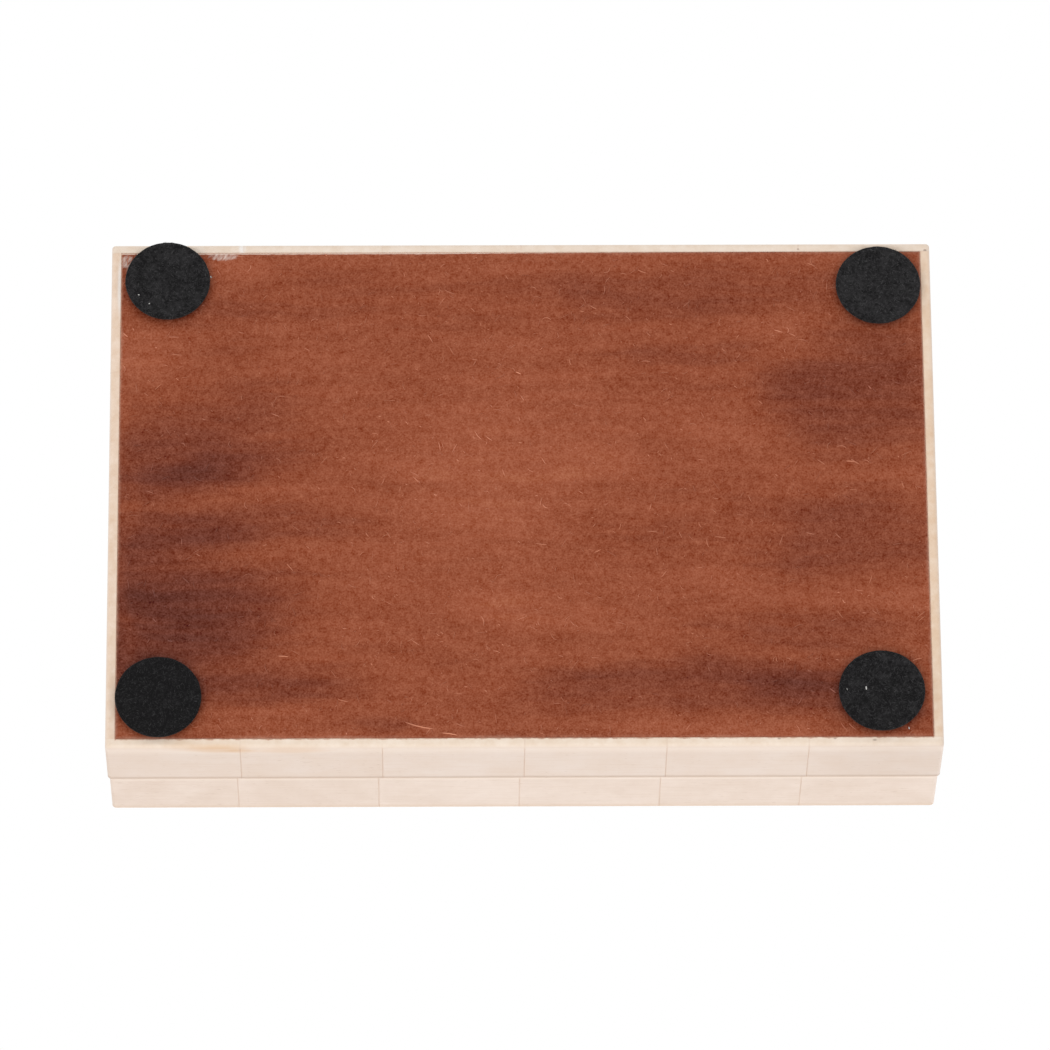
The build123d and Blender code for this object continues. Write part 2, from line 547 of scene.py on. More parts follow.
    def _sawn_edge(
        self, tree: NodeTree, place: NodeSocket, colour: NodeSocket, border_gap: NodeSocket
    ) -> tuple[NodeSocket, NodeSocket]:
        """Colour the sawn edges, which face down.

        Args:
            tree: the material's tree.
            place: where on the object, in millimetres.
            colour: the face's colour.
            border_gap: the distance to the board that the edge covers.

        Returns:
            The colour with the edges, and 1 on a sawn edge.
        """
        facing = add_node(tree, "ShaderNodeTexCoord", output="Normal")
        down = add_node(tree, SPLIT, {}, {"Vector": facing}, "Z")
        sawn = add_node(tree, RANGE, {}, self.facing_down.sockets(down))
        clouds = self.sawn_clouds.add(tree, place)
        share = add_node(tree, RANGE, {}, self.sawn_shown.sockets(clouds))
        tones = {FACTOR: share, UNDER: linear(self.sawn), OVER: linear(self.sawn_dark)}
        edge = add_node(tree, MIX, RGBA, tones, MIXED)
        reached = Levels(*self.bleed_levels, 0.0, self.bleed_reach_mm)
        reach = add_node(tree, RANGE, {}, reached.sockets(self.ragged.add(tree, place)))
        beyond = add_node(tree, MATH, SUBTRACT, {0: border_gap, 1: reach})
        fading = Levels(-self.bleed_soft_mm, self.bleed_soft_mm, self.bleed_share, 0.0)
        crept = add_node(tree, RANGE, {}, fading.sockets(beyond))
        along = add_node(tree, SPLIT, {}, {"Vector": place}, self.grain.value)
        along = add_node(tree, MATH, {"operation": "ABSOLUTE"}, {0: along})
        board_end = {0: along, 1: self.bleed_to_mm}
        beside_board = add_node(tree, MATH, {"operation": "LESS_THAN"}, board_end)
        crept = add_node(tree, MATH, MULTIPLY, {0: crept, 1: beside_board})
        edge = add_node(tree, MIX, RGBA, {FACTOR: crept, UNDER: edge, OVER: linear(self.bleed)}, MIXED)
        colour = add_node(tree, MIX, RGBA, {FACTOR: sawn, UNDER: colour, OVER: edge}, MIXED)
        return colour, sawn

    def _rims(self, tree: NodeTree, place: NodeSocket, colour: NodeSocket) -> NodeSocket:
        """Tint the rims with painted shade and painted highlights, darker or paler by height.

        Args:
            tree: the material's tree.
            place: where on the object, in millimetres.
            colour: the face's colour.

        Returns:
            The colour with its rims.
        """
        height = add_node(tree, SPLIT, {}, {"Vector": place}, "Z")
        for rim in self.rims:
            levels = Levels(rim.start_mm, rim.full_mm, 0.0, rim.strength)
            shown = add_node(tree, RANGE, SMOOTH, levels.sockets(height))
            tinted = {FACTOR: shown, UNDER: colour, OVER: linear(rim.tint)}
            colour = add_node(tree, MIX, RGBA, tinted, MIXED)
        return colour

    def _marks(self, tree: NodeTree, place: NodeSocket, colour: NodeSocket) -> NodeSocket:
        """Add the dabs of white filler, the seeps of stain and the pits that this row has.

        Args:
            tree: the material's tree.
            place: where on the object, in millimetres.
            colour: the bone's colour.

        Returns:
            The colour with its marks.
        """
        for kind in Mark:
            patches = [patch for mark, patch in self.marks if mark is kind]
            if patches:
                shown = add_patches(tree, place, patches)
                marked = {FACTOR: shown, UNDER: colour, OVER: linear(kind.value)}
                colour = add_node(tree, MIX, RGBA, marked, MIXED)
        return colour

    def _filled_joints(
        self, tree: NodeTree, place: NodeSocket, colour: NodeSocket, gap: NodeSocket
    ) -> NodeSocket:
        """Draw the filler in the joints, which comes and goes along them.

        Args:
            tree: the material's tree.
            place: where on the object, in millimetres.
            colour: the bone's colour.
            gap: the distance to the nearest joint.

        Returns:
            The colour with its joints.
        """
        width = self.joint_half_width_mm
        fading = Levels(self.joint_core * width, width, 1.0, 0.0)
        line = add_node(tree, RANGE, SMOOTH, fading.sockets(gap))
        patches = self.joint_patches.add(tree, place)
        presence = add_node(tree, RANGE, {}, self.filler_shown.sockets(patches))
        line = add_node(tree, MATH, MULTIPLY, {0: line, 1: presence})
        return add_node(tree, MIX, RGBA, {FACTOR: line, UNDER: colour, OVER: linear(self.filler)}, MIXED)


def thin_stain(tree: NodeTree, colour: NodeSocket, level: NodeSocket) -> NodeSocket:
    """Let the pale wood fibre show where the stain lies thin, and deepen it where it lies thick.

    Args:
        tree: the material's tree.
        colour: the stain at its usual thickness.
        level: 0 for that thickness, 0.25 on a pale fibre, less than 0 where it is thick.

    Returns:
        The colour. Blue gains most and red least, as the red-brown stain lets go.
    """
    letting_go = (1.0, 2.0, 3.0)
    gain = add_node(tree, VECTOR_MATH, MULTIPLY_ADD, {0: level, 1: letting_go, 2: WHITE[:3]})
    return add_node(tree, VECTOR_MATH, MULTIPLY, {0: colour, 1: gain})


@dataclass(frozen=True)
class StainedHardboard(Finish):
    """Hardboard, pressed from wood fibre and wiped over with a red-brown stain.

    The eye sees a matt rust brown with smoky bands along the wipes, a close mottle of fibre ends, fine
    lighter hairs that lie every way, dark specks, a dark ring of painted contact shadow round each foot,
    a light dusting of bone along the edge, with painted light where its colour fills the shaded arris of
    the short sides, and pale filler where the back edge was cut short.
    """

    half_length_mm: float
    half_width_mm: float
    # Painted shade: a dark contact shadow round each foot.
    painted_contact_shadow: tuple[Patch, ...] = ()
    name: str = "stained_hardboard"
    tones: Stops = (
        (0.0, "#4E241D"),
        (0.3, "#733725"),
        (0.6, "#914A2F"),
        (0.8, "#A0563A"),
        (1.0, "#AC6443"),
    )
    dust: str = "#D3A891"
    white_filler: str = "#E9D8CD"
    gap_filler: str = "#E6CDBD"
    # The stain: how it wanders off the wipes, the wipes and clouds, and the bands that it was left in.
    drift_mm: float = 24.0
    drift_detail: float = 3.0
    drift_reach_mm: tuple[float, float] = (18.0, 5.0)
    wipes: tuple[tuple[Pattern, float], ...] = (
        (Pattern((48.0, 6.0, 6.0), 3.0), 0.3),
        (Pattern((26.0, 2.4, 2.4), 3.0), 0.28),
    )
    clouds: Pattern = Pattern(24.0, 3.0)
    cloud_weight: float = 0.2
    mean_tone: float = 0.645
    bands: tuple[Patch, ...] = (
        Patch(74.0, 5.0, 42.0, 8.0, -9.0, -0.18),
        Patch(83.0, 10.0, 47.0, 18.0, -18.0, -0.25),
        Patch(90.0, -11.0, 44.0, 9.0, -7.0, -0.29),
        Patch(91.0, -33.0, 54.0, 24.0, -8.0, -0.46),
        Patch(60.0, -7.5, 38.0, 10.0, 0.0, -0.15),
        Patch(60.0, -48.0, 35.0, 8.0, -5.0, -0.25),
        Patch(-36.0, -49.0, 59.0, 11.0, -2.0, -0.25),
        Patch(-71.0, -53.0, 30.0, 12.0, 5.0, -0.25),
        Patch(-79.0, 27.0, 30.0, 24.0, -4.0, -0.28),
        Patch(-74.0, -13.0, 35.0, 21.0, 0.0, -0.19),
        Patch(-66.0, -35.0, 38.0, 8.0, 3.0, -0.13),
        Patch(56.0, 47.0, 58.0, 8.0, -5.0, -0.08),
        Patch(-46.0, 51.0, 63.0, 12.0, -2.0, -0.14),
        Patch(-42.0, 35.5, 24.0, 6.5, 0.0, -0.14),
        Patch(34.0, -58.0, 11.0, 4.5, 0.0, -0.14),
        Patch(4.0, 8.0, 40.0, 26.0, 2.0, 0.14),
        Patch(-3.0, -29.5, 30.0, 8.0, 0.0, 0.18),
        Patch(92.0, 37.0, 19.0, 11.0, 0.0, 0.14),
        Patch(92.0, -5.0, 4.0, 60.0, 0.0, 0.08),
        Patch(-88.0, -25.0, 81.0, 8.0, 1.0, 0.14),
        Patch(-46.0, -57.0, 61.0, 9.0, 5.0, 0.10),
        Patch(64.0, 57.0, 16.0, 5.0, 0.0, 0.14),
    )
    # The grain: what shows through the stain, how much of each, and less of it on a pale tone.
    clumps: Pattern = Pattern(2.8)
    mottle: Pattern = Pattern(1.2, 3.0, 0.65)
    grit: Pattern = Pattern(0.42, 1.0)
    hairs: CrossedFibres = CrossedFibres(1.5, 0.26, Levels(0.66, 0.80))
    specks: Pattern = Pattern((0.55, 0.45, 0.5), 0.0)
    speck_shown: Levels = Levels(0.76, 0.84)
    clump_weight: float = 0.3
    mottle_weight: float = 0.72
    grit_weight: float = 0.78
    hair_weight: float = 0.22
    speck_weight: float = -0.25
    mean_grain: float = 0.91
    deepening: Levels = Levels(0.1, 0.8, 1.7, 0.78)
    # The edge: bone dust, the painted light in the short sides' arris, the gap filled along the back, and
    # the smeared filler.
    ragged: Pattern = Pattern(0.9, 3.0)
    dust_reach: Levels = Levels(0.4, 0.8, 0.2, 0.65)
    dust_fading: Levels = Levels(-0.25, 0.5, 1.0, 0.0)
    dust_patches: Pattern = Pattern(16.0)
    dust_shown: Levels = Levels(0.4, 0.65, 0.06, 0.3)
    # Painted light: the dust colour fills the short sides' arris and lifts the shade in its groove.
    arris_mm: float = 0.27
    arris_core: float = 0.8
    painted_arris_light: float = 0.8
    gap_ends: tuple[float, float] = (-0.4, 0.25)
    gap_mm: tuple[float, float] = (0.05, 0.42)
    gap_ragged_mm: float = 0.3
    gap_beyond_mm: float = 0.15
    gap_shown: Levels = Levels(-0.06, 0.06, 0.0, 0.9)
    fillings: tuple[Patch, ...] = (Patch(91.6, 58.9, 2.4, 3.6), Patch(69.3, 60.4, 6.0, 2.0))
    brushed: Pattern = Pattern((1.5, 0.6, 1.0), 3.0, 0.6)
    brushed_deg: float = -56.0
    smear_weight: float = 0.5
    smear_shown: Levels = Levels(0.78, 1.2, 0.0, 0.74)
    # The surface.
    hair_relief: float = 0.4
    bump: float = 0.5
    bump_mm: float = 0.12
    roughness: float = 0.62
    specular: float = 0.15

    def look(self, tree: NodeTree, place: NodeSocket) -> dict[str, NodeSocket]:
        """Work out the hardboard's colour and relief.

        Args:
            tree: the material's tree.
            place: where on the object, in millimetres.

        Returns:
            What varies over it.
        """
        tone = self.tone(tree, place)
        grain, relief = self._grain(tree, place)
        deepening = add_node(tree, RANGE, {}, self.deepening.sockets(tone))
        grain = add_node(tree, MATH, MULTIPLY, {0: grain, 1: deepening})
        colour = thin_stain(tree, self.stain(tree, tone), grain)
        return {"Base Color": self._edge(tree, place, colour), "Height": relief}

    def tone(self, tree: NodeTree, place: NodeSocket) -> NodeSocket:
        """Work out how light each place is.

        Args:
            tree: the material's tree.
            place: where on the object, in millimetres.

        Returns:
            0 where the board took the most stain, 1 where it took the least, and lower in the painted
            contact shadow round each foot.
        """
        wide = {"Vector": place, "Scale": 1 / self.drift_mm, "Detail": self.drift_detail}
        drift = add_node(tree, "ShaderNodeTexNoise", {}, wide, "Color")
        x_reach, y_reach = self.drift_reach_mm
        drifting = {0: drift, 1: (x_reach, y_reach, 0.0), 2: place}
        warped = add_node(tree, VECTOR_MATH, MULTIPLY_ADD, drifting)
        centring = {0: warped, 1: (x_reach / 2, y_reach / 2, 0.0)}
        warped = add_node(tree, VECTOR_MATH, SUBTRACT, centring)
        layers = [(pattern.add(tree, warped), strength) for pattern, strength in self.wipes]
        layers.append((self.clouds.add(tree, place), self.cloud_weight))
        level = self.mean_tone - sum(strength for _, strength in layers) / 2
        tone = add_node(tree, MATH, {}, {0: add_patches(tree, warped, self.bands), 1: level})
        # Painted shade: a dark ring round each foot, standing in for its contact shadow.
        tone = add_node(tree, MATH, {}, {0: tone, 1: add_patches(tree, place, self.painted_contact_shadow)})
        return add_layers(tree, tone, layers)

    def stain(self, tree: NodeTree, tone: NodeSocket) -> NodeSocket:
        """Colour the board by its tone."""
        return paint_ramp(add_node(tree, RAMP, {}, {"Fac": tone}), self.tones)

    def _grain(self, tree: NodeTree, place: NodeSocket) -> tuple[NodeSocket, NodeSocket]:
        """Lay the fine grain: fibre ends, hairs and specks.

        Args:
            tree: the material's tree.
            place: where on the object, in millimetres.

        Returns:
            How thin or thick the stain is on it, 0 on average, and the relief.
        """
        mottle = self.mottle.add(tree, place)
        hairs = self.hairs.add(tree, place)
        layers = (
            (self.clumps.add(tree, place), self.clump_weight),
            (mottle, self.mottle_weight),
            (self.grit.add(tree, place), self.grit_weight),
            (hairs, self.hair_weight),
            (
                add_node(tree, RANGE, {}, self.speck_shown.sockets(self.specks.add(tree, place))),
                self.speck_weight,
            ),
        )
        grain = add_layers(tree, -self.mean_grain, layers)
        return grain, add_node(tree, MATH, MULTIPLY_ADD, {0: hairs, 1: self.hair_relief, 2: mottle})

    def _edge(self, tree: NodeTree, place: NodeSocket, colour: NodeSocket) -> NodeSocket:
        """Add the bone dust along the edge, the painted light in the short sides' arris, and the smeared
        filler.

        Args:
            tree: the material's tree.
            place: where on the object, in millimetres.
            colour: the stained board's colour.

        Returns:
            The colour with its edge.
        """
        away = add_node(tree, VECTOR_MATH, {"operation": "ABSOLUTE"}, {0: place})
        from_edge = {0: (self.half_length_mm, self.half_width_mm, 0.0), 1: away}
        inward = {"Vector": add_node(tree, VECTOR_MATH, SUBTRACT, from_edge)}
        x_in, y_in = (add_node(tree, SPLIT, {}, inward, axis) for axis in "XY")
        depth = add_node(tree, MATH, MINIMUM, {0: x_in, 1: y_in})
        ragged = self.ragged.add(tree, place)
        reach = add_node(tree, RANGE, {}, self.dust_reach.sockets(ragged))
        beyond = add_node(tree, MATH, SUBTRACT, {0: depth, 1: reach})
        dusted = add_node(tree, RANGE, {}, self.dust_fading.sockets(beyond))
        patches = self.dust_patches.add(tree, place)
        patchy = add_node(tree, RANGE, {}, self.dust_shown.sockets(patches))
        # Painted light: full dust colour in the short sides' arris, against the shade of the groove.
        painted_arris_light = Levels(self.arris_mm, self.arris_core * self.arris_mm, 0.0, self.painted_arris_light)
        painted_arris_lift = add_node(tree, RANGE, {}, painted_arris_light.sockets(x_in))
        patchy = add_node(tree, MATH, MAXIMUM, {0: patchy, 1: painted_arris_lift})
        dusted = add_node(tree, MATH, MULTIPLY, {0: dusted, 1: patchy})
        filled = self._filled_gap(tree, place, ragged)
        brushed = self.brushed.add(tree, place, math.radians(self.brushed_deg))
        dabs = {0: add_patches(tree, place, self.fillings), 1: self.smear_weight, 2: brushed}
        smear = add_node(tree, MATH, MULTIPLY_ADD, dabs)
        smear = add_node(tree, RANGE, {}, self.smear_shown.sockets(smear))
        for shown, tint in ((dusted, self.dust), (filled, self.gap_filler), (smear, self.white_filler)):
            colour = add_node(tree, MIX, RGBA, {FACTOR: shown, UNDER: colour, OVER: linear(tint)}, MIXED)
        return colour

    def _filled_gap(self, tree: NodeTree, place: NodeSocket, ragged: NodeSocket) -> NodeSocket:
        """Find the filler along the back edge, where the board was cut out of square.

        Args:
            tree: the material's tree.
            place: where on the object, in millimetres.
            ragged: noise for the filler's own edge.

        Returns:
            Near 1 on the filler and 0 off it.
        """
        along, towards_back = (add_node(tree, SPLIT, {}, {"Vector": place}, axis) for axis in "XY")
        first, last = (share * self.half_length_mm for share in self.gap_ends)
        width = add_node(tree, RANGE, {}, Levels(first, last, *self.gap_mm).sockets(along))
        width = add_node(tree, MATH, MULTIPLY_ADD, {0: ragged, 1: self.gap_ragged_mm, 2: width})
        start = add_node(tree, MATH, SUBTRACT, {0: self.half_width_mm + self.gap_beyond_mm, 1: width})
        past = add_node(tree, MATH, SUBTRACT, {0: towards_back, 1: start})
        return add_node(tree, RANGE, {}, self.gap_shown.sockets(past))


@dataclass(frozen=True)
class LooseFibre(Finish):
    """Single wood fibres that lie a little proud of the hardboard, wiped over with its stain.

    The eye sees the board's own stain on them, but thinner, and on each one by its own amount.
    """

    board: StainedHardboard
    name: str = "hardboard_fibre"
    thickest: float = 0.12
    thinnest: float = 0.85
    roughness: float = 0.6
    specular: float = 0.3

    def look(self, tree: NodeTree, place: NodeSocket) -> dict[str, NodeSocket]:
        """Work out the fibres' colour.

        Args:
            tree: the material's tree.
            place: where on the object, in millimetres.

        Returns:
            What varies over it.
        """
        own = add_node(tree, "ShaderNodeNewGeometry", output="Random Per Island")
        thin = add_node(tree, RANGE, {}, Levels(0.0, 1.0, self.thickest, self.thinnest).sockets(own))
        stain = self.board.stain(tree, self.board.tone(tree, place))
        return {"Base Color": thin_stain(tree, stain, thin)}


@dataclass(frozen=True)
class PressedFelt(Finish):
    """Black wool felt, matted and pressed hard, then die-cut.

    The eye sees a deep matt black that is never quite even: short grey fibres lie every way in it, and
    its nap catches a little light at a grazing angle.
    """

    name: str
    wear: float = 0.5
    black: str = "#100F10"
    worn: str = "#2B2A2B"
    fibre: str = "#565556"
    mottle: Pattern = Pattern(0.9, 3.0, 0.7)
    clouds: Pattern = Pattern(3.2, 2.0, 0.6)
    cloud_weight: float = 0.8
    unworn_level: float = 1.04
    worn_lowers: float = 0.4
    worn_span: float = 0.36
    fibres: CrossedFibres = CrossedFibres(1.2, 0.2, Levels(0.64, 0.80))
    fibre_shown: float = 0.35
    fibre_worn: float = 0.5
    bump: float = 0.7
    bump_mm: float = 0.12
    roughness: float = 0.95
    specular: float = 0.15
    sheen: float = 0.04

    def look(self, tree: NodeTree, place: NodeSocket) -> dict[str, NodeSocket]:
        """Work out the felt's colour and relief.

        Args:
            tree: the material's tree.
            place: where on the object, in millimetres.

        Returns:
            What varies over it.
        """
        clouds = {0: self.clouds.add(tree, place), 1: self.cloud_weight, 2: self.mottle.add(tree, place)}
        mottle = add_node(tree, MATH, MULTIPLY_ADD, clouds)
        start = self.unworn_level - self.worn_lowers * self.wear
        share = add_node(tree, RANGE, {}, Levels(start, start + self.worn_span).sockets(mottle))
        blacks = {FACTOR: share, UNDER: linear(self.black), OVER: linear(self.worn)}
        colour = add_node(tree, MIX, RGBA, blacks, MIXED)
        fibres = self.fibres.add(tree, place)
        strength = self.fibre_shown + self.fibre_worn * self.wear
        shown = add_node(tree, MATH, MULTIPLY, {0: fibres, 1: strength})
        greyed = {FACTOR: shown, UNDER: colour, OVER: linear(self.fibre)}
        relief = add_node(tree, MATH, {}, {0: fibres, 1: mottle})
        return {"Base Color": add_node(tree, MIX, RGBA, greyed, MIXED), "Height": relief}


@dataclass(frozen=True)
class Lint(Finish):
    """A fleck of pale cotton lint, shed by a cloth and caught in the felt: an uneven dusty white."""

    name: str = "pale_lint"
    tones: Stops = ((0.35, "#9A9896"), (0.6, "#D8D6D2"))
    tufts: Pattern = Pattern(0.2)
    roughness: float = 0.9

    def look(self, tree: NodeTree, place: NodeSocket) -> dict[str, NodeSocket]:
        """Colour the lint by its tufts."""
        tufts = add_node(tree, RAMP, {}, {"Fac": self.tufts.add(tree, place)})
        return {"Base Color": paint_ramp(tufts, self.tones)}


@dataclass(frozen=True)
class StainedWood(Finish):
    """Plain-sawn hardwood strip, planed, stained red-brown and wiped with oil.

    The eye sees long darker streaks along the strip, fine open pores, and a low satin gloss.
    """

    name: str
    grain: Grain
    tones: Stops = ((0.3, "#4A2418"), (0.5, "#6B3825"), (0.7, "#8A4E34"))
    pore: str = "#2E150E"
    streaks: Pattern = Pattern((60.0, 1.6, 1.6), 4.0, 0.6)
    pores: Pattern = Pattern((3.0, 0.18, 0.18), 1.0)
    pore_shown: Levels = Levels(0.62, 0.75, 0.0, 0.7)
    bump: float = 0.3
    bump_mm: float = 0.1
    sunk: bool = True
    roughness: float = 0.45

    def look(self, tree: NodeTree, place: NodeSocket) -> dict[str, NodeSocket]:
        """Work out the wood's colour and relief.

        Args:
            tree: the material's tree.
            place: where on the object, in millimetres.

        Returns:
            What varies over it.
        """
        streaks = self.streaks.along(self.grain).add(tree, place)
        colour = paint_ramp(add_node(tree, RAMP, {}, {"Fac": streaks}), self.tones)
        pores = self.pores.along(self.grain).add(tree, place)
        shown = add_node(tree, RANGE, {}, self.pore_shown.sockets(pores))
        open_pores = {FACTOR: shown, UNDER: colour, OVER: linear(self.pore)}
        return {"Base Color": add_node(tree, MIX, RGBA, open_pores, MIXED), "Height": pores}


@dataclass(frozen=True)
class StainedFibreboard(Finish):
    """Medium density fibreboard, sawn and stained brown.

    The eye sees a brown wiped on in broad streaks, a very fine mottle, darker flecks of bark, and a dry
    matt surface.
    """

    name: str = "stained_fibreboard"
    tones: Stops = ((0.55, "#5A2F20"), (0.8, "#7B452F"), (1.0, "#94583E"))
    fleck: str = "#3C1C13"
    mottle: Pattern = Pattern(0.8, 3.0, 0.65)
    mottle_weight: float = 0.6
    wiped: Pattern = Pattern((70.0, 9.0, 9.0), 4.0, 0.6)
    flecks: Pattern = Pattern(0.5, 0.0)
    fleck_shown: Levels = Levels(0.74, 0.82, 0.0, 0.7)
    bump: float = 0.4
    bump_mm: float = 0.08
    roughness: float = 0.75

    def look(self, tree: NodeTree, place: NodeSocket) -> dict[str, NodeSocket]:
        """Work out the fibreboard's colour and relief.

        Args:
            tree: the material's tree.
            place: where on the object, in millimetres.

        Returns:
            What varies over it.
        """
        mottle = self.mottle.add(tree, place)
        wiped = {0: mottle, 1: self.mottle_weight, 2: self.wiped.add(tree, place)}
        tone = add_node(tree, MATH, MULTIPLY_ADD, wiped)
        colour = paint_ramp(add_node(tree, RAMP, {}, {"Fac": tone}), self.tones)
        flecks = add_node(tree, RANGE, {}, self.fleck_shown.sockets(self.flecks.add(tree, place)))
        flecked = {FACTOR: flecks, UNDER: colour, OVER: linear(self.fleck)}
        return {"Base Color": add_node(tree, MIX, RGBA, flecked, MIXED), "Height": mottle}


@dataclass(frozen=True)
class PaperFloor(Finish):
    """Uncoated white background paper: an even pale grey with a faint tooth.

    It shows from above and lets the camera and the lamps below it through.
    """

    name: str = "background_paper"
    tone: str = "#F1F0EE"
    tone_low: str = "#EDECEA"
    tooth: Pattern = Pattern(1.5)

    def surface(self, tree: NodeTree, place: NodeSocket) -> NodeSocket:
        """Add the paper's shader.

        Args:
            tree: the material's tree.
            place: where on the object, in millimetres.

        Returns:
            The shader.
        """
        tooth = self.tooth.add(tree, place)
        tones = {FACTOR: tooth, UNDER: linear(self.tone), OVER: linear(self.tone_low)}
        colour = add_node(tree, MIX, RGBA, tones, MIXED)
        paper = add_node(tree, "ShaderNodeBsdfDiffuse", {}, {"Color": colour})
        clear = add_node(tree, "ShaderNodeBsdfTransparent")
        seen = add_node(tree, "ShaderNodeLightPath", output="Is Camera Ray")
        below = add_node(tree, "ShaderNodeNewGeometry", output="Backfacing")
        shown = add_node(tree, MATH, SUBTRACT | {"use_clamp": True}, {0: seen, 1: below})
        return add_node(tree, "ShaderNodeMixShader", {}, {0: shown, 1: clear, 2: paper})


@dataclass(frozen=True)
class SoftLamp:
    """A wide soft lamp far away: the way its light goes, and what share a matt surface sends back."""

    name: str
    towards: tuple[float, float, float]
    strength: float
    softness_deg: float = 50.0

    def build(self) -> None:
        """Add the lamp."""
        lamp = bpy.data.lights.new(self.name, "SUN")
        lamp.energy = self.strength * math.pi
        lamp.angle = math.radians(self.softness_deg)
        holder = bpy.data.objects.new(self.name, lamp)
        holder.rotation_mode = "QUATERNION"
        holder.rotation_quaternion = Vector(self.towards).to_track_quat("-Z", "Y")
        bpy.context.scene.collection.objects.link(holder)
        log.info("lit %s", self.name)


@dataclass
class Studio:
    """Camera, lamps, world and floor."""

    elevation_deg: float = 65.84
    turn_deg: float = 1.55
    roll_deg: float = -1.25
    distance_mm: float = 1915.1
    right_mm: float = 0.67
    up_mm: float = -7.63
    frame_px: float = 1050.0
    focal_px: float = 8326.0
    sensor_mm: float = 36.0
    sight_mm: tuple[float, float] = (50.0, 20000.0)
    fill: float = 0.78
    lamps: tuple[SoftLamp, ...] = (
        SoftLamp("upper_key", (0.28, 0.06, -0.96), 0.24),
        SoftLamp("lower_key", (-0.22, 0.65, 0.73), 0.27),
        SoftLamp("back_fill", (0.0, -0.97, -0.2), 0.16),
    )
    floor_radius_mm: float = 6000.0
    floor_corners: int = 64

    def build(self) -> None:
        """Build all of it."""
        self._camera()
        self._world()
        for lamp in self.lamps:
            lamp.build()
        self._floor()
        bpy.context.scene.view_settings.view_transform = "Standard"
        log.info("studio built")

    def _camera(self) -> None:
        """Place the camera where the turned-over box was seen from."""
        lift, turn, roll = (math.radians(a) for a in (self.elevation_deg, self.turn_deg, self.roll_deg))
        right = Vector((1.0, 0.0, 0.0))
        ahead = Vector((0.0, math.cos(lift), -math.sin(lift)))
        up = Vector((0.0, math.sin(lift), math.cos(lift)))
        centre = right * self.right_mm + up * self.up_mm - ahead * self.distance_mm
        side = right * math.cos(roll) - up * math.sin(roll)
        top = right * math.sin(roll) + up * math.cos(roll)
        turned_over = Matrix(((-1.0, 0.0, 0.0), (0.0, 1.0, 0.0), (0.0, 0.0, -1.0)))
        turned = turned_over @ Matrix.Rotation(-turn, 3, "Z")
        axes = Matrix([turned @ side, turned @ top, turned @ -ahead]).transposed()
        bottom = Vector((0.0, 0.0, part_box("bottom_panel")[0].z))
        camera = bpy.data.objects.new("camera", bpy.data.cameras.new("camera"))
        bpy.context.scene.collection.objects.link(camera)
        camera.matrix_world = Matrix.Translation(bottom + turned @ centre * MM) @ axes.to_4x4()
        camera.data.sensor_width = self.sensor_mm
        camera.data.lens = self.focal_px / self.frame_px * self.sensor_mm
        camera.data.clip_start, camera.data.clip_end = (limit * MM for limit in self.sight_mm)
        bpy.context.scene.camera = camera

    def _world(self) -> None:
        """White behind the box and in its reflections, and a plain fill for its matt surfaces."""
        world = bpy.data.worlds.new("white_room")
        world.use_nodes = True
        tree = world.node_tree
        tree.nodes.clear()
        seen = add_node(tree, "ShaderNodeLightPath", output="Is Camera Ray")
        rays = seen.node.outputs
        for ray in ("Is Glossy Ray", "Is Transmission Ray"):
            seen = add_node(tree, MATH, MAXIMUM, {0: seen, 1: rays[ray]})
        fill, white = (
            add_node(tree, "ShaderNodeBackground", {}, {"Color": WHITE, "Strength": strength})
            for strength in (self.fill, 1.0)
        )
        surface = add_node(tree, "ShaderNodeMixShader", {}, {0: seen, 1: fill, 2: white})
        add_node(tree, "ShaderNodeOutputWorld", {}, {"Surface": surface})
        bpy.context.scene.world = world

    def _floor(self) -> None:
        """Lay the background paper that the feet stand on."""
        mesh = bpy.data.meshes.new("floor")
        shape = bmesh.new()
        radius = self.floor_radius_mm * MM
        bmesh.ops.create_circle(shape, cap_ends=True, segments=self.floor_corners, radius=radius)
        shape.to_mesh(mesh)
        shape.free()
        floor = bpy.data.objects.new("floor", mesh)
        bpy.context.scene.collection.objects.link(floor)
        mesh.materials.append(PaperFloor().material())


def dress(node: str, material: Material) -> None:
    """Give a CAD node its finish.

    Args:
        node: the node's name.
        material: what all of it gets.
    """
    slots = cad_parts[node].data.materials
    slots.clear()
    slots.append(material)
    log.info("dressed %s in %s", node, material.name)


def box_mm(node: str) -> tuple[Vector, Vector]:
    """Return the low and the high corner of a CAD node, in millimetres."""
    low, high = (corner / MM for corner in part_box(node))
    return low, high


def place_mesh(
    name: str, points: np.ndarray, faces: Faces, material: Material, body: str
) -> Object:
    """Make a piece of points in millimetres and let it ride on a body.

    Args:
        name: the piece's name.
        points: its corners, one a row.
        faces: its faces, as rows of the corners.
        material: its finish.
        body: the body it rides on.

    Returns:
        The piece.
    """
    mesh = bpy.data.meshes.new(name)
    mesh.from_pydata((points * MM).tolist(), [], faces)
    mesh.materials.append(material)
    mesh.validate()
    piece = bpy.data.objects.new(name, mesh)
    bpy.context.scene.collection.objects.link(piece)
    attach(piece, body)
    log.info("built %s with %d faces", name, len(faces))
    return piece


def smooth(piece: Object) -> None:
    """Shade a piece as one smooth surface."""
    for face in piece.data.polygons:
        face.use_smooth = True


def wandering(middle: tuple[float, float], way: np.ndarray, length: float) -> tuple[np.ndarray, ...]:
    """Work out the run of a fibre that turns as it goes.

    Args:
        middle: where its middle is.
        way: its heading at each point.
        length: its length.

    Returns:
        Its points along X and along Y.
    """
    run = np.cumsum(np.stack([np.cos(way), np.sin(way)], axis=1), axis=0)
    run *= length / len(way)
    run -= run.mean(axis=0)
    return middle[0] + run[:, 0], middle[1] + run[:, 1]


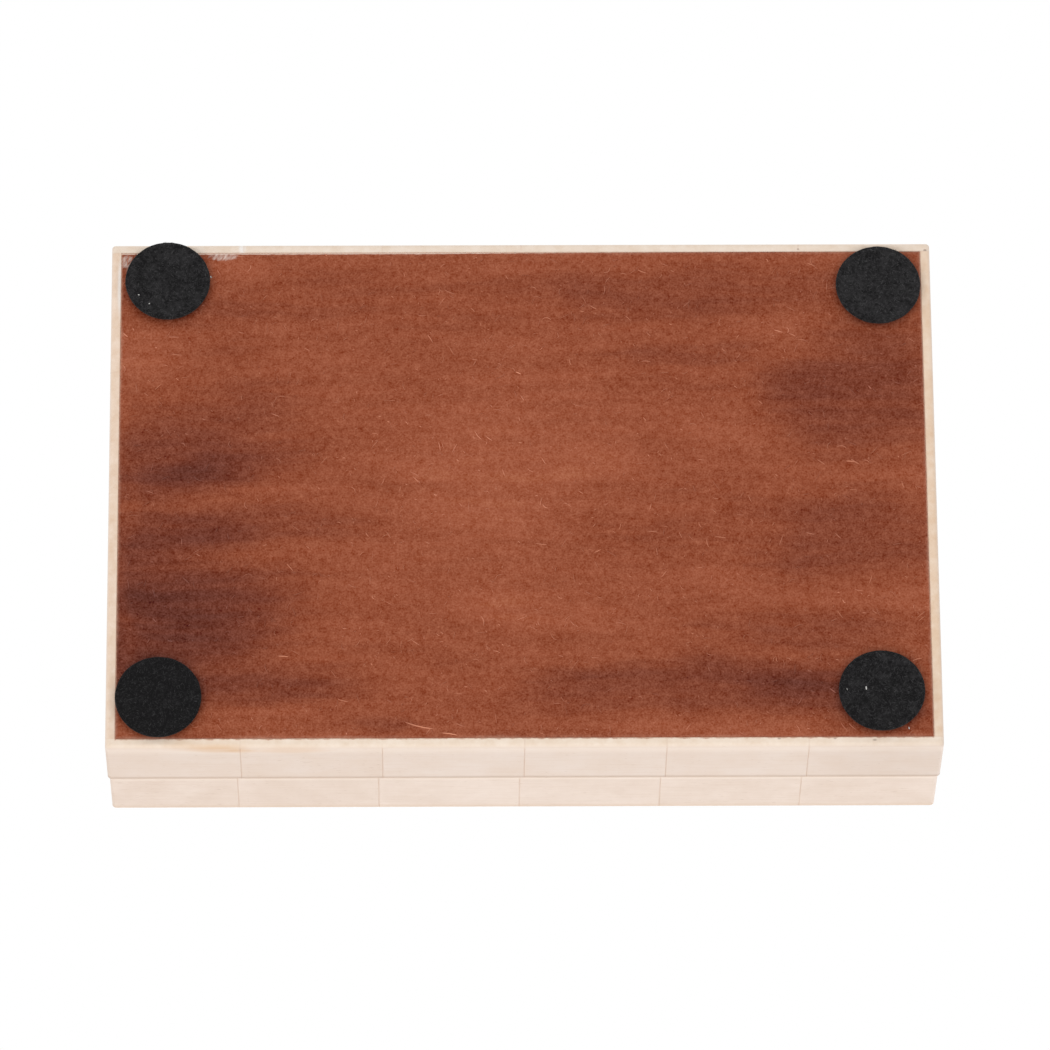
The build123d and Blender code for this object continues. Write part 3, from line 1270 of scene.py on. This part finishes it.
def strand(path: np.ndarray, radius: float, start: int) -> tuple[list[np.ndarray], Faces]:
    """Make a thin fibre along a path, pointed at both ends.

    Args:
        path: its points, one a row.
        radius: its radius at the middle.
        start: how many corners the mesh already has.

    Returns:
        Its corners and its faces.
    """
    count = len(path)
    ahead = np.gradient(path, axis=0)
    ahead /= np.linalg.norm(ahead, axis=1, keepdims=True) + TINY
    side = np.cross(ahead, (0.0, 0.0, 1.0)) + SMALL
    side /= np.linalg.norm(side, axis=1, keepdims=True)
    rise = np.cross(side, ahead)
    corners: list[np.ndarray] = [path[0]]
    for i in range(1, count - 1):
        taper = radius * math.sin(math.pi * i / (count - 1)) ** 0.5
        for k in range(STRAND_SIDES):
            angle = 2 * math.pi * k / STRAND_SIDES
            corners.append(path[i] + taper * (math.cos(angle) * side[i] + math.sin(angle) * rise[i]))
    corners.append(path[-1])
    return corners, turned_faces(start, STRAND_SIDES, count - 2)


def turned_faces(start: int, spokes: int, rings: int) -> Faces:
    """List the faces of a turned shape: a first corner, its rings of corners, and a last corner.

    Args:
        start: how many corners the mesh already has.
        spokes: how many corners a ring has.
        rings: how many rings there are.

    Returns:
        The faces.
    """
    faces: Faces = []
    last = start + 1 + spokes * rings
    for k in range(spokes):
        following = (k + 1) % spokes
        faces.append((start, start + 1 + following, start + 1 + k))
        for i in range(rings - 1):
            ring = start + 1 + i * spokes
            outer = ring + spokes
            faces.append((ring + k, ring + following, outer + following, outer + k))
        ring = last - spokes
        faces.append((ring + k, ring + following, last))
    return faces


@dataclass(frozen=True)
class Fleck:
    """A fleck of lint: what it lies on, where, its half length and half width, and its heading."""

    on: str
    x_mm: float
    y_mm: float
    half_length_mm: float
    half_width_mm: float
    heading: float
    flatness: float = 0.2
    steps: int = 7

    def build(self, name: str, level_mm: float, slot: str, material: Material) -> None:
        """Lay the fleck flat.

        Args:
            name: the piece's name.
            level_mm: the height that it lies at.
            slot: not used.
            material: the lint.
        """
        steps = np.linspace(-1.0, 1.0, self.steps)
        x_run = self.x_mm + self.half_length_mm * steps * math.cos(self.heading)
        y_run = self.y_mm + self.half_length_mm * steps * math.sin(self.heading)
        path = np.stack([x_run, y_run, np.zeros(len(steps))], axis=1)
        corners, faces = strand(path, self.half_width_mm, 0)
        points = np.array(corners)
        points[:, 2] = level_mm + points[:, 2] * self.flatness
        place_mesh(name, points, faces, material, "base")


@dataclass
class FeltFeet:
    """The four die-cut felt feet, matted and slightly frayed at their rims."""

    thickness_mm: float = 2.0
    edge_round_mm: float = 0.45
    undercut_mm: float = 0.6
    nap_mm: float = 0.10
    fray_mm: float = 0.20
    wear: tuple[tuple[str, float], ...] = (
        ("back_left_foot", 0.8),
        ("back_right_foot", 0.7),
        ("front_left_foot", 0.55),
        ("front_right_foot", 0.25),
    )
    # How finely a disc is turned, and the shape of its side.
    spokes: int = 144
    rings: int = 26
    ring_spacing: float = 0.8
    edge_steps: int = 4
    side_steps: int = 6
    side_hollow: float = 1.5
    # How uneven the felt is: tufts to the millimetre, and where and how much its rim frays.
    fine_per_mm: float = 2.3
    coarse_per_mm: float = 0.45
    noise_apart_mm: float = 7.0
    frayed_beyond: float = 0.9
    least_fray: float = 0.25
    fine_share: float = 0.6
    # The loose hairs: their sizes, where they end at the rim, and their height as shares of the nap.
    hairs: int = 420
    hair_seed: int = 400
    hair_length_mm: tuple[float, float] = (0.5, 1.7)
    hair_radius_mm: float = 0.028
    hair_points: int = 6
    hair_bend: float = 1.6
    hair_inset_mm: float = 0.25
    hair_overhang_mm: float = 0.06
    hair_level: float = 0.55
    hair_arch: float = 0.135
    hair_drop: float = 0.1
    lint_level_mm: float = 0.04
    flecks: tuple[Fleck, ...] = (
        Fleck("front_left_foot", -77.8, -50.1, 0.50, 0.20, 1.45),
        Fleck("front_left_foot", -73.4, -50.4, 0.30, 0.10, 1.2),
        Fleck("back_right_foot", 88.8, 49.6, 0.22, 0.13, 0.3),
        Fleck("back_right_foot", 86.3, 47.3, 0.22, 0.17, 2.0),
    )

    def build(self) -> None:
        """Build each foot in the place of its CAD node."""
        lint = Lint().material()
        for seed, (node, wear) in enumerate(self.wear):
            felt = PressedFelt(node + "_felt", wear).material()
            points, faces = self._disc(node, seed)
            corners, strands = self._hairs(node, seed, len(points))
            points = np.vstack([points, corners])
            foot = place_mesh(node + "_felt", points, faces + strands, felt, "base")
            smooth(foot)
            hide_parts(node)
            caught = [fleck for fleck in self.flecks if fleck.on == node]
            for i, fleck in enumerate(caught):
                fleck.build(f"{node}_lint_{i + 1}", self.lint_level_mm, "black_felt", lint)

    def _outline(self, node: str) -> tuple[float, float, float]:
        """Return the middle and the radius of a foot, in millimetres."""
        low, high = box_mm(node)
        return (low.x + high.x) / 2, (low.y + high.y) / 2, (high.x - low.x) / 2

    def _profile(self, radius: float) -> list[tuple[float, float]]:
        """Draw the disc's profile, from its face over the rounded edge and down its hollow side.

        Args:
            radius: the foot's radius.

        Returns:
            The reach and the height of each ring.
        """
        profile = [(radius * (i / self.rings) ** self.ring_spacing, 0.0) for i in range(1, self.rings)]
        rounding = self.edge_round_mm
        for i in range(self.edge_steps + 1):
            angle = math.pi / 2 * i / self.edge_steps
            reach = radius - rounding + rounding * math.sin(angle)
            profile.append((reach, rounding * (1 - math.cos(angle))))
        side = self.thickness_mm - rounding
        for i in range(1, self.side_steps + 1):
            under = self.undercut_mm * (i / self.side_steps) ** self.side_hollow
            profile.append((radius - under, rounding + side * i / self.side_steps))
        return profile

    def _disc(self, node: str, seed: int) -> tuple[np.ndarray, Faces]:
        """Turn the foot's disc, its nap and frayed rim cut inwards from the full size.

        Args:
            node: the foot.
            seed: which part of the noise it gets.

        Returns:
            Its corners and its faces.
        """
        x_middle, y_middle, radius = self._outline(node)
        profile = self._profile(radius)
        points = [Vector((x_middle, y_middle, 0.5 * self.nap_mm))]
        for reach, height in profile:
            for spoke in range(self.spokes):
                angle = 2 * math.pi * spoke / self.spokes
                way = (math.cos(angle), math.sin(angle))
                inwards, rise = self._unevenness(way, reach, height, radius, seed)
                outwards = reach - inwards
                x, y = x_middle + outwards * way[0], y_middle + outwards * way[1]
                points.append(Vector((x, y, height + rise)))
        points.append(Vector((x_middle, y_middle, self.thickness_mm)))
        return np.array(points), turned_faces(0, self.spokes, len(profile))

    def _unevenness(
        self, way: tuple[float, float], reach: float, height: float, radius: float, seed: int
    ) -> tuple[float, float]:
        """Work out how far the felt is frayed inwards and how far its nap rises, at one corner.

        Args:
            way: which way the corner is from the middle.
            reach: how far it is from the middle.
            height: how high it is.
            radius: the foot's radius.
            seed: which part of the noise the foot gets.

        Returns:
            How far the corner goes inwards and up.
        """
        sample = Vector((reach * way[0], reach * way[1], height + self.noise_apart_mm * seed))
        fine = 0.5 + 0.5 * noise.noise(sample * self.fine_per_mm)
        coarse = 0.5 + 0.5 * noise.noise(sample * self.coarse_per_mm)
        rim = max(0.0, reach / radius - self.frayed_beyond) / (1 - self.frayed_beyond)
        tufted = self.least_fray + (1 - self.least_fray) * fine
        rise = 0.0
        if height < self.thickness_mm / 2:
            nap = self.nap_mm * (self.fine_share * fine + (1 - self.fine_share) * coarse)
            rise = nap * (1 - height / self.thickness_mm)
        return self.fray_mm * rim * tufted * coarse, rise

    def _hairs(self, node: str, seed: int, start: int) -> tuple[np.ndarray, Faces]:
        """Lay loose hairs on the foot's face and round its rim.

        Args:
            node: the foot.
            seed: the draw's seed, beyond the feet's own.
            start: how many corners the disc has.

        Returns:
            Their corners and their faces.
        """
        x_middle, y_middle, radius = self._outline(node)
        draw = np.random.default_rng(self.hair_seed + seed)
        steps = np.linspace(-0.5, 0.5, self.hair_points)
        arch = self.hair_arch * (1 - np.cos(2 * np.pi * (steps + 0.5)))
        level = self.nap_mm * (self.hair_level - arch)
        corners: list[np.ndarray] = []
        faces: Faces = []
        for _ in range(self.hairs):
            length = draw.uniform(*self.hair_length_mm)
            reach = (radius - self.hair_inset_mm) * math.sqrt(draw.uniform(0.0, 1.0))
            bearing, heading = draw.uniform(0, 2 * math.pi, 2)
            way = heading + draw.uniform(-self.hair_bend, self.hair_bend) * steps
            middle = (reach * math.cos(bearing), reach * math.sin(bearing))
            x_run, y_run = wandering(middle, way, length)
            over = np.maximum(1.0, np.hypot(x_run, y_run) / (radius - self.hair_overhang_mm))
            height = level + self.hair_drop * (over - 1) * radius
            path = np.stack([x_middle + x_run / over, y_middle + y_run / over, height], axis=1)
            made, strands = strand(path, self.hair_radius_mm, start + len(corners))
            corners += made
            faces += strands
        return np.array(corners), faces


@dataclass(frozen=True)
class Splinter:
    """A fibre lying on the board: its middle, its length, its heading, how far it turns, its radius."""

    x_mm: float
    y_mm: float
    length_mm: float
    heading: float
    turn: float = -0.2
    radius_mm: float = 0.13


@dataclass
class HardboardBottom:
    """The hardboard bottom, the loose fibres on it, and the longer splinters torn up from it."""

    seed: int = 71
    fibres: int = 1500
    length_mm: tuple[float, float] = (0.7, 3.4)
    radius_mm: tuple[float, float] = (0.06, 0.14)
    # How far a loose fibre turns at most, and the powers that make most of them short and straight.
    curl: float = 2.6
    favour_short: int = 3
    favour_straight: int = 3
    margin_mm: float = 0.6
    edge_mm: float = 0.3
    proud_mm: float = 0.01
    fibre_points: int = 8
    splinter_tone: tuple[float, float] = (1.0, 1.3)
    # The painted contact shadow round each foot: how far past the foot it reaches, and how dark it is.
    painted_shadow_reach_mm: float = 1.9
    painted_shadow_strength: float = -0.88
    splinters: tuple[Splinter, ...] = (
        Splinter(24.0, -58.3, 8.2, 0.23, 0.35, 0.16),
        Splinter(17.0, -60.3, 4.6, 0.18, -0.3, 0.15),
        Splinter(54.9, -41.0, 3.0, 0.08),
        Splinter(0.8, 30.2, 1.6, 0.44),
        Splinter(-70.2, -49.9, 2.1, 0.72),
        Splinter(78.3, -12.3, 1.8, 1.56),
        Splinter(-80.5, 26.3, 1.4, 0.85),
        Splinter(-17.1, -15.0, 2.1, 2.65),
        Splinter(-89.6, -42.3, 2.7, 2.8, 0.6),
        Splinter(-75.5, 7.5, 2.5, 0.1),
    )
    lint_sunk_mm: float = 0.02
    flecks: tuple[Fleck, ...] = (
        Fleck("bottom_panel", 72.1, 55.1, 0.30, 0.24, 1.2),
        Fleck("bottom_panel", -87.4, -59.2, 0.34, 0.18, 1.3),
    )

    def build(self) -> None:
        """Dress the board and lay its fibres."""
        low, high = box_mm("bottom_panel")
        board = StainedHardboard(high.x, high.y, self._painted_contact_shadows())
        dress("bottom_panel", board.material())
        self._lay("bottom_fibres", self._loose(low, high), LooseFibre(board))
        torn = LooseFibre(board, "hardboard_splinter", *self.splinter_tone)
        self._lay("bottom_splinters", self.splinters, torn)
        lint = Lint().material()
        for i, fleck in enumerate(self.flecks):
            level = low.z - self.lint_sunk_mm
            fleck.build(f"bottom_lint_{i + 1}", level, "stained_hardboard", lint)

    def _loose(self, low: Vector, high: Vector) -> list[Splinter]:
        """Draw the loose fibres at random, short and straight ones more often than long and curly ones.

        Args:
            low: the board's low corner.
            high: its high corner.

        Returns:
            The fibres.
        """
        draw = np.random.default_rng(self.seed)
        shortest, longest = self.length_mm
        margin = self.margin_mm
        loose: list[Splinter] = []
        for _ in range(self.fibres):
            length = shortest + (longest - shortest) * draw.uniform() ** self.favour_short
            x = draw.uniform(low.x + margin, high.x - margin)
            y = draw.uniform(low.y + margin, high.y - margin)
            heading = draw.uniform(0, math.pi)
            turn = draw.uniform(-1.0, 1.0) ** self.favour_straight * self.curl
            loose.append(Splinter(x, y, length, heading, turn, draw.uniform(*self.radius_mm)))
        return loose

    def _lay(self, name: str, fibres: Sequence[Splinter], finish: LooseFibre) -> None:
        """Lay fibres flat on the board, as one piece.

        Args:
            name: the piece's name.
            fibres: the fibres.
            finish: what they are made of.
        """
        low, high = box_mm("bottom_panel")
        edge = self.edge_mm
        corners: list[np.ndarray] = []
        faces: Faces = []
        steps = np.linspace(-0.5, 0.5, self.fibre_points)
        height = np.full(len(steps), low.z - self.proud_mm)
        for fibre in fibres:
            way = fibre.heading + fibre.turn * steps
            x_run, y_run = wandering((fibre.x_mm, fibre.y_mm), way, fibre.length_mm)
            x_run = np.clip(x_run, low.x + edge, high.x - edge)
            y_run = np.clip(y_run, low.y + edge, high.y - edge)
            path = np.stack([x_run, y_run, height], axis=1)
            made, strands = strand(path, fibre.radius_mm, len(corners))
            corners += made
            faces += strands
        place_mesh(name, np.array(corners), faces, finish.material(), "base")

    def _painted_contact_shadows(self) -> tuple[Patch, ...]:
        """Return the painted contact shadows round the feet.

        Returns:
            A dark patch of painted shade under each foot, a little wider than the foot.
        """
        rings = []
        for node, _ in FeltFeet.wear:
            low, high = box_mm(node)
            reach = (high.x - low.x) / 2 + self.painted_shadow_reach_mm
            middle = (low + high) / 2
            rings.append(Patch(middle.x, middle.y, reach, reach, strength=self.painted_shadow_strength))
        return tuple(rings)


@dataclass(frozen=True)
class SawnSide:
    """The bone of one side: the tones of its sawn edge, and the share and reach of the crept stain."""

    name: str
    grain: Grain
    sawn: str
    sawn_dark: str
    bleed_share: float
    bleed_reach_mm: float


@dataclass
class Cladding:
    """The bone tiles of base and lid, each side sawn from another piece of bone."""

    tile_mm: float = 32.3
    lid_shift_mm: float = 1.0
    short_row_tiles: int = 4
    sides: tuple[SawnSide, ...] = (
        SawnSide("front", Grain.ALONG_X, "#F5E4D3", "#E9D3BD", 0.75, 0.46),
        SawnSide("back", Grain.ALONG_X, "#EFDFCF", "#E4CFBA", 0.25, 0.15),
        SawnSide("left", Grain.ALONG_Y, "#EED7C1", "#E1C1A3", 0.4, 0.2),
        SawnSide("right", Grain.ALONG_Y, "#F0DAC7", "#E1C4AA", 0.3, 0.15),
    )
    base_cream: str = "#E8D6C9"
    # Painted light: the lid's cream is the base's bone made lighter, as bounce from the surface the
    # turned-over box rests on.
    lid_cream: str = "#EFDCCE"
    marks: tuple[tuple[str, Mark, Patch], ...] = (
        ("base_back", Mark.WHITE_FILLER, Patch(64.95, 62.4, 1.1, 2.2, 0.0, 0.85, 2.0, 7.0)),
        ("base_right", Mark.WHITE_FILLER, Patch(93.25, 52.5, 0.8, 10.0, 0.0, 0.7)),
        ("base_front", Mark.SEEP, Patch(77.0, -62.8, 6.5, 1.6, 0.0, 0.16, 3.0, 2.0)),
        ("base_front", Mark.SEEP, Patch(69.5, -63.4, 9.5, 1.6, 0.0, 0.5, 3.3, 2.2)),
        ("base_front", Mark.SEEP, Patch(64.5, -63.4, 5.0, 1.6, 0.0, 0.3, 4.1, 1.5)),
        ("base_front", Mark.SEEP, Patch(53.0, -63.4, 12.0, 1.6, 0.0, 0.3, 3.8, 2.2)),
        ("base_front", Mark.SEEP, Patch(76.0, -62.4, 26.0, 2.4, 0.0, 0.1, 2.0, 1.8)),
        ("base_back", Mark.PIT, Patch(-64.6, 61.9, 0.4, 0.35, 0.0, 0.7, 2.0, 1.0)),
        ("base_back", Mark.PIT, Patch(-94.2, 61.5, 0.6, 0.45, 0.0, 0.8, 2.0, 1.5)),
        ("base_front", Mark.PIT, Patch(-70.5, -61.7, 0.5, 0.3, 0.0, 0.6, 2.0, 1.0)),
        ("base_front", Mark.PIT, Patch(-79.5, -62.1, 0.7, 0.3, 0.0, 0.6, 2.0, 1.0)),
        ("base_front", Mark.PIT, Patch(-57.8, -61.7, 0.6, 0.3, 0.0, 0.6, 2.0, 1.0)),
        # This last one is no pit: a broad faint darkening over the left end of the front row, in the
        # pits' colour.
        ("base_front", Mark.PIT, Patch(-86.0, -63.5, 28.0, 3.0, 0.0, 0.08, 12.0, 30.0)),
    )
    # The painted shade and painted highlights along the rims, by their heights above the parting line,
    # the bottom or the top.
    # Painted shade: darker towards the parting line, in the groove between base and lid.
    painted_parting_shade: Rim = Rim(-2.4, -0.3, "#B99A82", 0.85)
    # Painted highlight: paler on the base's bottom arris.
    painted_bottom_highlight: Rim = Rim(4.8, 1.5, "#FCEBDC", 0.38)
    # Painted highlight: paler on the lid's rim just above the parting line.
    painted_parting_highlight: Rim = Rim(2.2, 0.6, "#FCEBDC", 0.45)
    # Painted shade: darker and warmer towards the lid's top arris, which the turned-over box rests on.
    painted_top_shade: Rim = Rim(-3.0, -0.3, "#DDBEA0", 0.65)

    def build(self) -> None:
        """Dress every row and the tiled top."""
        bottom, parting = (corner.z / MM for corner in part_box("base_front_tiles"))
        base_rims = (self.painted_parting_shade.moved(parting), self.painted_bottom_highlight.moved(bottom))
        self._rows("base", box_mm("bottom_panel")[1], 0.0, self.base_cream, base_rims)
        lid_core = box_mm("lid_board")[1]
        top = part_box("lid_top_tiles")[1].z / MM
        lid_rims = (self.painted_parting_highlight.moved(parting), self.painted_top_shade.moved(top))
        self._rows("lid", lid_core, self.lid_shift_mm, self.lid_cream, lid_rims)
        across = JointFamily(Square.TO_Y, 2 * lid_core.y / self.short_row_tiles, 0.0)
        along = JointFamily(Square.TO_X, self.tile_mm, self.lid_shift_mm)
        border = JointFamily(Square.TO_X, 2 * lid_core.x, lid_core.x)
        bone = PolishedBone("bone_lid_top", Grain.ALONG_X, (along, across), border)
        dress("lid_top_tiles", bone.material())

    def _rows(
        self, part: str, core: Vector, shift_mm: float, cream: str, rims: tuple[Rim, ...]
    ) -> None:
        """Dress the four rows round the base or the lid.

        Args:
            part: base or lid.
            core: half the length and width inside the cladding.
            shift_mm: how far the long rows' joints are off the middle.
            cream: its bone's colour, made lighter on the lid as painted bounce light.
            rims: the painted shade and painted highlights along its rims.
        """
        along = JointFamily(Square.TO_X, self.tile_mm, shift_mm)
        across = JointFamily(Square.TO_Y, 2 * core.y / self.short_row_tiles, 0.0)
        ends = JointFamily(Square.TO_Y, 2 * core.y, core.y)
        flanks = JointFamily(Square.TO_X, 2 * core.x, core.x)
        for side in self.sides:
            row = f"{part}_{side.name}"
            lengthways = side.grain is Grain.ALONG_X
            bone = PolishedBone(
                "bone_" + row,
                side.grain,
                (along if lengthways else across,),
                ends if lengthways else flanks,
                tuple((mark, patch) for marked, mark, patch in self.marks if marked == row),
                rims,
                cream=cream,
                sawn=side.sawn,
                sawn_dark=side.sawn_dark,
                bleed_share=side.bleed_share,
                bleed_reach_mm=side.bleed_reach_mm,
                bleed_to_mm=core.x if lengthways else core.y,
            )
            dress(row + "_tiles", bone.material())


@dataclass
class Inside:
    """The boards, the lining, the dividers and the felt on the floor."""

    felt_step_mm: float = 1.6
    felt_edge_mm: float = 0.25
    felt_dent_mm: float = 0.12
    dents_per_mm: float = 0.12
    fewest_steps: int = 4

    def build(self) -> None:
        """Dress the boards and lay the felt."""
        board = StainedFibreboard().material()
        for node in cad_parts:
            if node.endswith("_wall") or node == "lid_board":
                dress(node, board)
        woods = {
            grain: StainedWood("stained_wood_" + grain.name.lower(), grain).material() for grain in Grain
        }
        for side in ("front", "back"):
            dress(side + "_lining", woods[Grain.ALONG_X])
        for node in ("left_lining", "right_lining", "left_divider", "right_divider"):
            dress(node, woods[Grain.ALONG_Y])
        felt = PressedFelt("floor_felt").material()
        for node in ("left_card_felt", "dice_felt", "right_card_felt"):
            self._felt(node, felt)

    def _felt(self, node: str, material: Material) -> None:
        """Lay one sheet of felt: a closed sheet, soft at its cut edges and a little uneven on top.

        Args:
            node: the CAD node whose place it takes.
            material: the felt.
        """
        low, high = box_mm(node)
        columns = max(self.fewest_steps, round((high.x - low.x) / self.felt_step_mm))
        rows = max(self.fewest_steps, round((high.y - low.y) / self.felt_step_mm))
        xs = np.linspace(low.x, high.x, columns + 1)
        ys = np.linspace(low.y, high.y, rows + 1)
        wide = columns + 1
        points = [(x, y, low.z) for y in ys for x in xs]
        points += [(x, y, high.z - self._sunk(x, y, low, high)) for y in ys for x in xs]
        count = wide * (rows + 1)
        faces: Faces = []
        for j in range(rows):
            for i in range(columns):
                a = j * wide + i
                faces.append((a, a + wide, a + wide + 1, a + 1))
                faces.append((count + a, count + a + 1, count + a + wide + 1, count + a + wide))
        border = list(range(columns))
        border += [j * wide + columns for j in range(rows)]
        border += [rows * wide + i for i in range(columns, 0, -1)]
        border += [j * wide for j in range(rows, 0, -1)]
        for a, b in zip(border, border[1:] + border[:1]):
            faces.append((a, b, count + b, count + a))
        sheet = place_mesh(node + "_sheet", np.array(points), faces, material, "base")
        smooth(sheet)
        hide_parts(node)

    def _sunk(self, x: float, y: float, low: Vector, high: Vector) -> float:
        """Work out how far a sheet's upper side is below its full height, in a dent or at its soft edge.

        Args:
            x: where on the sheet.
            y: where on the sheet.
            low: the sheet's low corner.
            high: its high corner.

        Returns:
            How far.
        """
        inset = min(x - low.x, high.x - x, y - low.y, high.y - y)
        rounded = self.felt_edge_mm * max(0.0, 1 - inset / self.felt_step_mm)
        spot = Vector((x, y, 0.0)) * self.dents_per_mm
        return self.felt_dent_mm * (0.5 + 0.5 * noise.noise(spot)) + rounded


def main() -> None:
    """Build the studio and dress the box."""
    logging.basicConfig(level=logging.INFO, format="%(name)s: %(message)s")
    Studio().build()
    HardboardBottom().build()
    Cladding().build()
    Inside().build()
    FeltFeet().build()


if __name__ == "__main__":
    main()
